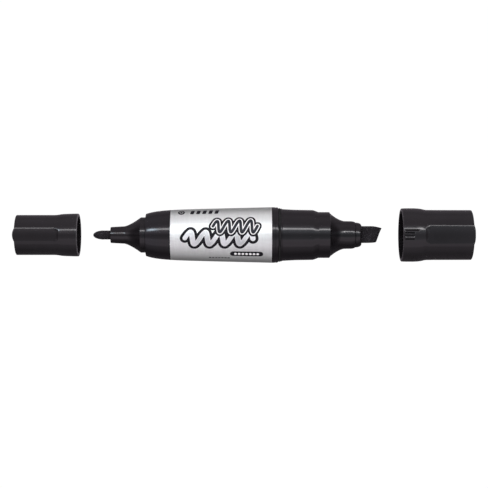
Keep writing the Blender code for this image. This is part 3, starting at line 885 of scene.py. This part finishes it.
def groove_depth(offset, depth):
    """Depth of the grip grooves: steep on one side and gentle on the other."""
    across = -GROOVE_R * np.sin(offset)
    cut = np.zeros_like(offset)
    for middle, deep, upper, lower, reach in GROOVES:
        along = smoothstep(0.55, 0.95, depth) * (1 - smoothstep(reach - 0.7, reach, depth))
        above = np.clip(1 - (across - middle) / upper, 0, 1)
        below = np.clip(1 - (middle - across) / lower, 0, 1)
        cut = np.maximum(cut, along * deep * np.where(across > middle, above, below))
    return cut


def side_depths(cap, length):
    """Distances from the rim of the rings down a cap's side, from the closed end."""
    start, end = cap.ramp
    runs = [(length - cap.fillet - 0.5, end + 2.2, 8), (end + 1.6, start - 0.3, 24)]
    if cap.ribbed:
        runs += [(start - 0.7, 7.5, 4), (7.2, 6.2, 6), (5.8, 5.4, 2)]
        runs += [(5.25, 4.5, 6), (4.0, 1.3, 5), (1.0, 0.5, 5)]
    else:
        runs += [(start - 0.8, 0.9, 9), (0.5, 0.5, 1)]
    return np.concatenate([np.linspace(*run) for run in runs])


def build_cap(cap):
    """A cup with three slightly crowned panels."""
    way, fillet, half_w, curve = cap.way, cap.fillet, cap.panel_half_w, cap.panel_curve
    end, rim = cap_ends(cap.name, way)
    face, pad_end = end + way * cap.face_inset, end - way * cap.pad_rise
    length = abs(face - rim)
    angles = cap_angles(math.asin(half_w / cap.core_r), cap.ribbed)
    offset = panel_offset(angles)
    lean = np.clip(np.abs(offset), 0, math.radians(60))
    crown = math.sqrt(cap.core_r**2 - half_w**2) + half_w**2 / (2 * curve)
    centre = crown - curve
    crowned = centre * np.cos(lean) + np.sqrt(curve**2 - (centre * np.sin(lean)) ** 2)
    late_from, late_to, late_by = cap.late
    across = cap.core_r * np.sin(lean)
    late = late_by * np.clip((across - late_from) / (late_to - late_from), 0, 1)

    def outside(depth):
        skirt = skirt_radius(cap, depth, length)
        share = smoothstep(*cap.ramp, depth - late)
        panelled = smooth_min(crowned, np.full_like(angles, skirt), cap.blend)
        radius = skirt * (1 - share) + panelled * share
        return radius - groove_depth(offset, depth) if cap.ribbed else radius

    def end_face(radius):
        """X of the closed end: level between the panels, and raised along each panel's line."""
        pad = np.clip(1 - (np.abs(radius * np.sin(lean)) / half_w) ** cap.pad_power, 0, 1)
        return face + (pad_end - face) * pad

    rings = []

    def add(x, radius):
        rings.append(ring(angles, x, radius))

    # Closed end, from the middle out: a dimple, the face, then its rounded edge.
    for radius, inset in ((0.9, 0.10), (1.20, 0.10), (1.42, 0.0)):
        add(pad_end + way * inset, radius)
    edge_r = outside(length)
    for share in (0.24, 0.33, 0.42, 0.50, 0.58, 0.66, 0.74, 0.82, 0.90, 0.96):
        radius = (edge_r - fillet) * share
        add(end_face(radius), radius)
    for sin, cos in quarter_turn(6):
        add(end_face(edge_r - fillet) + way * fillet * (1 - cos), edge_r - fillet * (1 - sin))
    for depth in side_depths(cap, length):
        add(rim - way * depth, outside(depth))
    # The rounded rim, outside and then inside.
    lip, inner_lip = 0.30, 0.25
    for sin, cos in quarter_turn(6, first=1):
        add(rim - way * lip * (1 - sin), skirt_radius(cap, 0.3, length) - lip + lip * cos)
    for sin, cos in quarter_turn(4):
        add(rim - way * inner_lip * (1 - cos), cap.mouth_r + inner_lip * (1 - sin))
    # The mouth, the narrower bore and its floor.
    for depth in np.linspace(1.2, cap.mouth_depth, 6):
        add(rim - way * depth, cap.mouth_r)
    add(rim - way * (cap.mouth_depth + 0.6), cap.bore_r)
    floor = end + way * 1.3
    for x in np.linspace(rim - way * (cap.mouth_depth + 3.0), floor + way * 0.25, 6):
        add(x, cap.bore_r)
    add(floor + way * 0.07, cap.bore_r - 0.07)
    add(floor, cap.bore_r - 0.3)
    add(floor, cap.bore_r * 0.4)
    obj = skin(cap.name + "_shell", rings, False, 40)
    dress(obj, cap.name + "_unit", cap_black, "cap_plastic", cap.name)


def build_liner(cap, inner_r, outer_r):
    """The flanged cup inside a cap."""
    node, way = cap.name + "_liner", cap.way
    back, mouth = cap_ends(node, way)
    flange_r = span(node)[2]
    floor = back + way * 1.0
    points = [
        (back, flange_r * 0.4), (back, flange_r, 0.12), (floor, flange_r, 0.12),
        (floor, outer_r, 0.35), (mouth - way * 1.6, outer_r, 0.3), (mouth, outer_r - 0.18, 0.16),
        (mouth, inner_r + 0.12, 0.14), (mouth - way * 1.0, inner_r, 0.3),
        (floor, inner_r, 0.5), (floor, inner_r * 0.3),
    ]
    obj = turned(node + "_cup", filleted(points), 96, closed=False)
    dress(obj, cap.name + "_unit", cup_plastic, "liner_plastic", node)


# ---------------------------------------------------------- label graphics
# Fields are signed distances in mm of film, negative inside: x runs along the pen and y round it,
# from the line that faces the viewer.


def stroke_field(x, y, path, widths):
    """A stroke with round ends whose half-width varies along the path."""
    best = np.full(x.shape, 1e9)
    for (x0, y0), (x1, y1), start, end in zip(path, path[1:], widths, widths[1:]):
        dx, dy = x1 - x0, y1 - y0
        share = np.clip(((x - x0) * dx + (y - y0) * dy) / max(1e-9, dx * dx + dy * dy), 0, 1)
        away = np.hypot(x - x0 - share * dx, y - y0 - share * dy)
        best = np.minimum(best, away - (start + (end - start) * share))
    return best


def box_field(x, y, centre, half, corner, slant=0.0):
    """A rounded box, leaning by slant."""
    past_x = np.abs(x - centre[0] - slant * (y - centre[1])) - (half[0] - corner)
    past_y = np.abs(y - centre[1]) - (half[1] - corner)
    outside = np.hypot(np.maximum(past_x, 0), np.maximum(past_y, 0))
    return outside + np.minimum(np.maximum(past_x, past_y), 0) - corner


def on_film(flat, lift):
    """Points of film wrapped round the barrel at a height over the label."""
    radius = np.array([barrel_radius(x) for x in flat[:, 0]]) + lift
    turn = flat[:, 1] / BARREL_MAX_R
    return np.stack([flat[:, 0], -radius * np.cos(turn), radius * np.sin(turn)], 1)


def printed(name, field, area, lift, material, level=0.0, cell=0.16):
    """A thin patch of ink wherever field is under level. area is (x from, x to, y from, y to)."""
    x0, x1, y0, y1 = area
    xs = np.linspace(x0, x1, int((x1 - x0) / cell) + 1)
    ys = np.linspace(y0, y1, int((y1 - y0) / cell) + 1)
    values = field(*np.meshgrid(xs, ys, indexing="ij")) - level
    values = np.where(np.abs(values) < 1e-4, 1e-4, values)
    points, faces, seen = [], [], {}

    def vertex(key, x, y):
        if key not in seen:
            seen[key] = len(points)
            points.append((x, y))
        return seen[key]

    def crossing(*ends):
        """The vertex where the outline cuts a cell's edge."""
        (i, j), (k, m) = key = tuple(sorted(ends))
        share = values[i, j] / (values[i, j] - values[k, m])
        return vertex(key, xs[i] + (xs[k] - xs[i]) * share, ys[j] + (ys[m] - ys[j]) * share)

    inside = values < 0
    some = inside[:-1, :-1] | inside[1:, :-1] | inside[1:, 1:] | inside[:-1, 1:]
    for i, j in zip(*np.nonzero(some)):
        loop = [(i, j), (i + 1, j), (i + 1, j + 1), (i, j + 1)]
        polygon = []
        for here, after in zip(loop, loop[1:] + loop[:1]):
            if inside[here]:
                polygon.append(vertex(here, xs[here[0]], ys[here[1]]))
            if inside[here] != inside[after]:
                polygon.append(crossing(here, after))
        faces.append(tuple(polygon))
    # The ink is a closed solid: a top, the same outline below it, and walls between.
    flat = np.array(points)
    count = len(flat)
    edges = dict.fromkeys(pair for face in faces for pair in zip(face, face[1:] + face[:1]))
    walls = [(b, a, a + count, b + count) for a, b in edges if (b, a) not in edges]
    bottom = [tuple(count + k for k in reversed(face)) for face in faces]
    places = np.concatenate([on_film(flat, lift), on_film(flat, lift - 0.02)])
    obj = mesh_object(name, places, faces + walls + bottom, 40)
    dress(obj, "barrel_unit", material, "label_film")


def wave(start, end, middle, rise, turns, count, lean, grow):
    """Points of a leaning wave, its rise growing by the share grow from end to end."""
    path = []
    for i in range(count + 1):
        share = i / count
        y = rise * (1 + grow * (share - 0.5)) * math.sin(TAU * turns * share)
        path.append((start + (end - start) * share + lean * y, middle + y))
    return path


def nib_widths(path, thin, thick, pen_deg):
    """Half-widths of a stroke drawn with a flat nib held at pen_deg."""
    widths = []
    for i in range(len(path)):
        before, after = path[max(0, i - 1)], path[min(len(path) - 1, i + 1)]
        heading = math.atan2(after[1] - before[1], after[0] - before[0])
        widths.append(thin + (thick - thin) * abs(math.sin(heading - math.radians(pen_deg))))
    return widths


def print_strokes():
    """A broad and a thin wavy marker stroke, the thin one on top."""
    broad_path = wave(
        start=-25.9, end=3.9, middle=-1.60, rise=2.70, turns=4.5, count=190, lean=0.24, grow=-0.20
    )
    broad_widths = nib_widths(broad_path, thin=0.66, thick=1.00, pen_deg=40)
    thin_path = wave(
        start=-13.6, end=5.9, middle=3.95, rise=2.75, turns=4.0, count=170, lean=0.24, grow=0.06
    )
    thin_widths = [0.62] * len(thin_path)
    thin_edge = 1.26  # width of the black edge round the thin stroke

    def broad(x, y):
        return stroke_field(x, y, broad_path, broad_widths)

    def thin(x, y):
        return stroke_field(x, y, thin_path, thin_widths)

    def backing(x, y):
        return np.minimum(broad(x, y) - 1.46, thin(x, y) - thin_edge)

    area = (-31.5, 10.8, -7.4, 10.4)
    # Layers from the film up: name, field, level, height over the film, ink
    for name, field, level, lift, material in (
        ("stroke_back", backing, 0.0, 0.030, black_ink),
        ("broad_white", broad, 0.22, 0.050, white_ink),
        ("broad_core", broad, 0.0, 0.070, grey_ink),
        ("thin_edge", thin, thin_edge, 0.090, black_ink),
        ("thin_white", thin, 0.42, 0.110, white_ink),
        ("thin_core", thin, 0.0, 0.130, slate_ink),
    ):
        printed("print_" + name, field, area, lift, material, level)


def print_mark():
    """A ring with a dot, and leaning bars, at the top left."""
    middle_y = 12.9

    def mark(x, y):
        away = np.hypot(x + 27.6, (y - middle_y) * 0.86)
        emblem = np.minimum(np.abs(away - 1.18) - 0.36, away - 0.50)
        bars = [
            box_field(x, y, (-22.7 + 2.68 * k, middle_y), (0.80, 1.60), corner=0.30, slant=0.18)
            for k in range(5)
        ]
        return np.minimum.reduce([emblem] + bars)

    printed("print_mark", mark, (-30.0, -9.6, 10.4, 15.8), 0.030, black_ink, cell=0.11)


def print_pill():
    """A pill with a row of dots, at the lower right."""
    middle_y = -9.45

    def pill(x, y):
        return box_field(x, y, (1.15, middle_y), (7.25, 1.40), corner=1.36)

    def dots(x, y):
        return np.minimum.reduce(
            [np.hypot(x + 3.75 - 1.63 * k, y - middle_y) - 0.60 for k in range(7)]
        )

    printed("print_pill", pill, (-7.5, 9.8, -11.2, -7.2), 0.030, black_ink, cell=0.12)
    printed("print_pill_dots", dots, (-5.2, 7.6, -10.5, -8.4), 0.055, white_ink, cell=0.10)


def print_rule():
    """A fine broken rule under the strokes."""
    def rule(x, y):
        return np.minimum.reduce([
            box_field(x, y, (-14.9 + 1.35 * k, -12.5), (0.48, 0.34), corner=0.15)
            for k in range(7)
        ])

    printed("print_rule", rule, (-16.4, -5.4, -13.4, -11.6), 0.030, black_ink, cell=0.10)


# ------------------------------------------------------------------- stage

# Soft cards of the studio, in degrees of elevation round the pen from the lens (0) over the
# top (90): middle, half width, soft edge, brightness
SOFT_CARDS = (
    (24.0, 2.0, 26.0, 0.66),  # glow about the strip
    (66.0, 16.0, 50.0, 0.34),  # overhead box
    (150.0, 25.0, 20.0, 0.13),  # light from behind
    (0.0, 18.0, 20.0, 0.16),  # room in front
    (-38.0, 13.0, 8.0, 0.32),  # low card
    (-44.0, 8.0, 48.0, 0.34),  # its spread
    (0.0, 200.0, 1.0, 0.075),  # faint light all round
)
STRIP_CARD = (27.8, 1.9, 2.7, 6.6)
LEFT_LAMP = (27.5, 3.0, 5.0, 7.5)
RIGHT_LAMP = (28.5, 3.0, 4.5, 6.0)


def dress_reservoir():
    """Materials for the reservoir pieces, which keep their frame meshes."""
    fibre = wadding("reservoir_fibre", (0.035, 0.035, 0.04))
    wrap = glossy_wrap("reservoir_wrap", (0.72, 0.73, 0.75))
    for node, material in (("reservoir_core", fibre), ("reservoir_film", wrap)):
        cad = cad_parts[node]
        for slot in cad.material_slots:
            slot.material = material
        if not cad.material_slots:
            cad.data.materials.append(material)


def build_floor():
    """A glowing white floor under the pen, with a painted soft contact shadow where it is seen from
    above.
    """
    net = material_net("floor_white")
    open_air = net.add("AmbientOcclusion", settings={"samples": 8}, Distance=0.045).outputs["AO"]
    facing = net.add("LayerWeight", Blend=0.5).outputs["Facing"]
    above = net.fade(facing, (0.92, 0.70))
    # Painted contact shadow: the glowing floor is dimmed near the pen where it is seen from above.
    contact = net.remap(open_air, (0.0, 0.85), to=(0.42, 0.0))
    tone = net.minus(1.03, net.times(above, contact))
    material = net.finish(net.add("Emission", Color=(1.0, 1.0, 1.0), Strength=tone))
    low = cad_box[0].z - 0.0002
    size = 30.0
    corners = [(-size, -size, low), (size, -size, low), (size, size, low), (-size, size, low)]
    mesh = bpy.data.meshes.new("floor")
    mesh.from_pydata(corners, [], [(0, 1, 2, 3)])
    obj = bpy.data.objects.new("floor", mesh)
    mesh.materials.append(material)
    bpy.context.scene.collection.objects.link(obj)
    obj.visible_glossy = False
    obj.visible_diffuse = False
    obj.visible_shadow = False


def studio_reflections(net, direction):
    """What the pen reflects. It turns with the camera, so that every side is lit alike."""
    local = net.add("VectorTransform", direction, settings={
        "vector_type": "VECTOR", "convert_from": "WORLD", "convert_to": "CAMERA",
    })
    side, up, ahead = net.add("SeparateXYZ", local.outputs[0]).outputs
    elevation = net.math("ARCTAN2", up, net.times(ahead, -1.0))
    elevation = net.times(elevation, 180 / math.pi)

    def card(centre, half, soft, level):
        away = net.gap(elevation, centre)
        return net.fade(away, (half, half + soft), to=(level, 0.0))

    def between(first, second, second_to=(0.0, 1.0)):
        """A card's extent from side to side, as a fade at each end."""
        return net.times(net.fade(side, first), net.fade(side, second, second_to))

    soft = reduce(net.plus, [card(*row) for row in SOFT_CARDS])
    sideways = net.math("ABSOLUTE", side)
    soft = net.times(soft, net.fade(sideways, (0.70, 0.93), to=(1.0, 0.16)))
    strip = net.times(card(*STRIP_CARD), between((-0.56, -0.44), (0.64, 0.80), (1.0, 0.0)))
    left = net.times(between((-0.28, -0.44), (-0.66, -0.54)), card(*LEFT_LAMP))
    right = net.times(between((0.16, 0.28), (0.52, 0.40)), card(*RIGHT_LAMP))
    strip = net.plus(strip, right)

    # Warm cards, cooler in front and to the right. The strip is white and the left lamp cool.
    front = card(centre=8.0, half=18.0, soft=22.0, level=1.0)
    cool = net.times(front, net.fade(side, (-0.14, 0.02), to=(0.15, 1.0)))
    tint = net.mix(cool, (1.03, 0.915, 1.03), (0.95, 1.0, 1.10))
    tint = net.mix(net.remap(net.plus(strip, left), (0.0, 1.5)), tint, (1.0, 0.985, 1.01))
    tint = net.mix(net.remap(left, (0.0, 1.5)), tint, (0.88, 0.975, 1.075))
    level = net.plus(net.plus(soft, strip), left)
    return net.add("Background", Color=tint, Strength=level)


def build_world():
    """Studio cards in reflections, soft ambient light elsewhere, and white to the camera."""
    net = Net(bpy.data.worlds.new("studio"))
    ray = net.add("LightPath").outputs
    direction = net.add("TexCoord").outputs["Generated"]
    reflected = studio_reflections(net, direction)
    height = net.add("SeparateXYZ", direction).outputs[2]
    level = net.remap(height, (-0.7, 0.9), to=(0.80, 1.00))
    ambient = net.add("Background", Color=(1.0, 0.97, 1.0), Strength=level)
    seen = net.add("Background", Color=(1.0, 1.0, 1.0), Strength=1.02)
    lit = net.add("MixShader", ray["Is Glossy Ray"], ambient.outputs[0], reflected.outputs[0])
    final = net.add("MixShader", ray["Is Camera Ray"], lit.outputs[0], seen.outputs[0])
    world = net.finish(final, "OutputWorld")
    world.cycles.sampling_method = "NONE"
    bpy.context.scene.world = world


def build_lights():
    light = bpy.data.lights.new("overhead_softbox", "AREA")
    light.shape = "RECTANGLE"
    light.size, light.size_y = 0.9, 0.6
    light.energy = 2.5
    obj = bpy.data.objects.new("overhead_softbox", light)
    obj.location = (0.0, -0.15, 0.75)
    obj.rotation_euler = (math.radians(-11), 0, 0)
    obj.visible_glossy = False
    bpy.context.scene.collection.objects.link(obj)


def build_camera():
    """Square on to the pen, close enough for its caps' mouths to show."""
    distance, height = 0.645, -0.004005
    view_width = 0.21716  # what the picture spans at the pen
    data = bpy.data.cameras.new("camera")
    data.type = "PERSP"
    data.sensor_width = 36.0
    data.lens = data.sensor_width * distance / view_width
    data.clip_start, data.clip_end = 0.01, 100.0
    obj = bpy.data.objects.new("camera", data)
    obj.location = (0.0, -distance, height)
    obj.rotation_euler = (math.radians(90), 0, 0)
    bpy.context.scene.collection.objects.link(obj)
    bpy.context.scene.camera = obj


# ------------------------------------------------------------------- build

build_barrel()
build_label()
build_bullet_nose()
build_bullet_nib()
build_gasket()
build_chisel_nose()
build_nib_ring()
build_chisel_nib()
build_cap(BULLET_CAP)
build_cap(CHISEL_CAP)
build_liner(BULLET_CAP, inner_r=4.15, outer_r=4.95)
build_liner(CHISEL_CAP, inner_r=6.45, outer_r=7.30)
print_strokes()
print_mark()
print_pill()
print_rule()
dress_reservoir()

build_floor()
build_world()
build_lights()
build_camera()
bpy.context.scene.view_settings.view_transform = "Standard"
